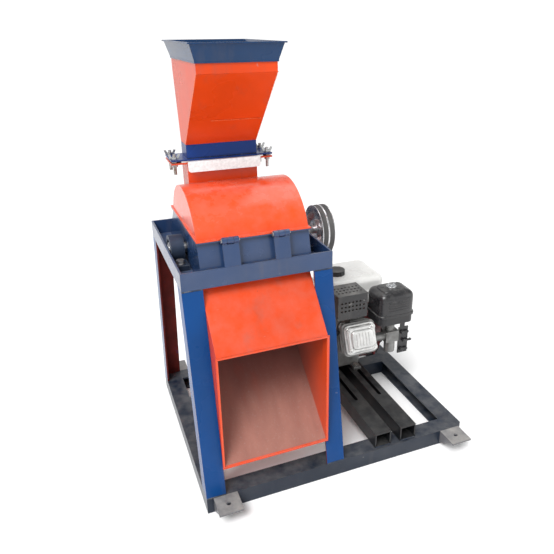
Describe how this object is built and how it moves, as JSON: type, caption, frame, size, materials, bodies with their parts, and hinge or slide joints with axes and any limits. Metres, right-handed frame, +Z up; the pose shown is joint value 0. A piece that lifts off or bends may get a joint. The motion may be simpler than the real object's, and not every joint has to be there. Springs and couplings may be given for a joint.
{
  "type": "hammer mill",
  "caption": "Engine-driven hammer mill on a welded angle stand, with a hinged drum cover, feed hopper with slide gate, swinging hammers over a sieve and a sloping discharge chute.",
  "frame": {"origin": "middle of the base on the floor", "axes": "+X along the rotor shaft towards the belts and engine, -Y the side the discharge mouth faces, +Z up"},
  "size_m": [0.77, 0.734, 1.108],
  "materials": {
    "navy": "dusty worn gloss",
    "lug": "dusty scuffed",
    "post_blue": "gloss",
    "frame_blue": "dusty gloss",
    "tube": "dusty satin",
    "housing_blue": "dusty gloss",
    "screen": "perforated plate",
    "chute_orange": "gloss, dusty inside",
    "cover_orange": "gloss",
    "neck_orange": "gloss",
    "guide": "bare strip",
    "gate": "galvanised sheet",
    "collar_blue": "gloss",
    "hopper_orange": "gloss",
    "rim_blue": "gloss",
    "bolt_zinc": "zinc plated",
    "wing_zinc": "zinc plated",
    "strap_blue": "gloss",
    "leaf_blue": "gloss",
    "pin_zinc": "zinc plated",
    "screw_zinc": "zinc plated",
    "bearing_iron": "cast, painted",
    "insert_steel": "ground",
    "ring_steel": "ground",
    "bearing_bolt_zinc": "zinc plated",
    "shaft_steel": "turned",
    "disc_steel": "flame cut",
    "hammer_pin_steel": "drawn bar",
    "spacer_steel": "cut tube",
    "hammer_steel": "hardened",
    "mill_pulley_iron": "turned rims",
    "belt": "fabric wrapped",
    "engine_pulley_iron": "turned rims",
    "crank_steel": "ground",
    "block_alloy": "die cast",
    "head_alloy": "die cast",
    "valve_alloy": "die cast",
    "fan_red": "gloss",
    "recoil_black": "gloss",
    "handle_black": "moulded",
    "tank_white": "gloss",
    "cap_black": "moulded",
    "bracket_black": "satin",
    "cleaner_base": "moulded",
    "cleaner_cover": "moulded",
    "cleaner_nut": "plated",
    "carb_alloy": "die cast",
    "muffler_steel": "heat stained",
    "shield_black": "satin",
    "plate_black": "satin",
    "lever_black": "moulded",
    "switch_red": "moulded",
    "switch_box": "moulded",
    "plug_rubber": "boot",
    "engine_bolt_zinc": "zinc plated"
  },
  "bodies": {
    "stand": {"base_frame": "navy", "foot_lugs": "lug", "stand_posts": "post_blue", "upper_frame": "frame_blue", "engine_rails": "tube", "lower_housing": "housing_blue", "screen": "screen", "chute": "chute_orange", "hinge_straps": "strap_blue", "hinge_pins": "pin_zinc", "bearing_housings": "bearing_iron", "bearing_inserts": "insert_steel", "bearing_bolts": "bearing_bolt_zinc", "drive_belts": "belt", "engine_block": "block_alloy", "cylinder_head": "head_alloy", "valve_cover": "valve_alloy", "fan_housing": "fan_red", "recoil_starter": "recoil_black", "fuel_tank": "tank_white", "tank_bracket": "bracket_black", "air_cleaner_base": "cleaner_base", "air_cleaner_cover": "cleaner_cover", "air_cleaner_nut": "cleaner_nut", "carburettor": "carb_alloy", "muffler": "muffler_steel", "muffler_shield": "shield_black", "control_plate": "plate_black", "switch_box": "switch_box", "spark_plug": "plug_rubber", "engine_bolts": "engine_bolt_zinc"},
    "rotor": {"rotor_shaft": "shaft_steel", "bearing_inner_rings": "ring_steel", "rotor_discs": "disc_steel", "hammer_pins": "hammer_pin_steel", "hammer_spacers": "spacer_steel", "mill_pulley": "mill_pulley_iron"},
    "hammer_row_a": {"hammers_a": "hammer_steel"},
    "hammer_row_b": {"hammers_b": "hammer_steel"},
    "hammer_row_c": {"hammers_c": "hammer_steel"},
    "hammer_row_d": {"hammers_d": "hammer_steel"},
    "engine_crank": {"crankshaft": "crank_steel", "engine_pulley": "engine_pulley_iron"},
    "cover_and_hopper": {"cover": "cover_orange", "feed_neck": "neck_orange", "gate_guides": "guide", "hopper_collar": "collar_blue", "hopper_body": "hopper_orange", "hopper_rim": "rim_blue", "flange_bolts": "bolt_zinc", "wing_nuts": "wing_zinc", "hinge_leaves": "leaf_blue", "cover_screws": "screw_zinc"},
    "gate": {"slide_gate": "gate"},
    "starter_handle": {"recoil_handle": "handle_black"},
    "tank_cap": {"fuel_cap": "cap_black"},
    "throttle": {"throttle_lever": "lever_black"},
    "choke": {"choke_lever": "lever_black"},
    "fuel_valve": {"fuel_lever": "lever_black"},
    "ignition_switch": {"engine_switch": "switch_red"}
  },
  "joints": [
    {"name": "rotor_spin", "type": "hinge", "parent": "stand", "child": "rotor", "pos_m": [-0.195, -0.03, 0.6175], "axis": [1, 0, 0], "continuous": true},
    {"name": "hammer_swing_a", "type": "hinge", "parent": "rotor", "child": "hammer_row_a", "pos_m": [-0.195, 0.048, 0.6175], "axis": [1, 0, 0], "continuous": true},
    {"name": "hammer_swing_b", "type": "hinge", "parent": "rotor", "child": "hammer_row_b", "pos_m": [-0.195, -0.03, 0.6955], "axis": [1, 0, 0], "continuous": true},
    {"name": "hammer_swing_c", "type": "hinge", "parent": "rotor", "child": "hammer_row_c", "pos_m": [-0.195, -0.108, 0.6175], "axis": [1, 0, 0], "continuous": true},
    {"name": "hammer_swing_d", "type": "hinge", "parent": "rotor", "child": "hammer_row_d", "pos_m": [-0.195, -0.03, 0.5395], "axis": [1, 0, 0], "continuous": true},
    {"name": "crank_spin", "type": "hinge", "parent": "stand", "child": "engine_crank", "pos_m": [0.039, 0.116, 0.196], "axis": [1, 0, 0], "continuous": true},
    {"name": "cover_tilt", "type": "hinge", "parent": "stand", "child": "cover_and_hopper", "pos_m": [-0.195, -0.19504, 0.6808], "axis": [1, 0, 0], "range_deg": [0, 100]},
    {"name": "gate_slide", "type": "slide", "parent": "cover_and_hopper", "child": "gate", "axis": [0, -1, 0], "range_m": [0, 0.066]},
    {"name": "starter_pull", "type": "slide", "parent": "stand", "child": "starter_handle", "axis": [0, 1, 0], "range_m": [0, 0.06], "stiffness_N_per_m": 250, "springref_m": -0.02},
    {"name": "cap_turn", "type": "hinge", "parent": "stand", "child": "tank_cap", "pos_m": [0.163, 0.115, 0.4], "axis": [0, 0, 1], "range_deg": [0, 90]},
    {"name": "throttle_turn", "type": "hinge", "parent": "stand", "child": "throttle", "pos_m": [0.309, -0.078, 0.226], "axis": [0, -1, 0], "range_deg": [-25, 25]},
    {"name": "choke_turn", "type": "hinge", "parent": "stand", "child": "choke", "pos_m": [0.301, -0.078, 0.256], "axis": [0, -1, 0], "range_deg": [0, 40]},
    {"name": "fuel_valve_turn", "type": "hinge", "parent": "stand", "child": "fuel_valve", "pos_m": [0.301, -0.078, 0.196], "axis": [0, -1, 0], "range_deg": [-40, 0]},
    {"name": "switch_turn", "type": "hinge", "parent": "stand", "child": "ignition_switch", "pos_m": [0.243, -0.005, 0.168], "axis": [0, -1, 0], "range_deg": [0, 60]}
  ],
  "couplings": [
    {"joint": "crank_spin", "follows": "rotor_spin", "ratio": 1.25}
  ]
}
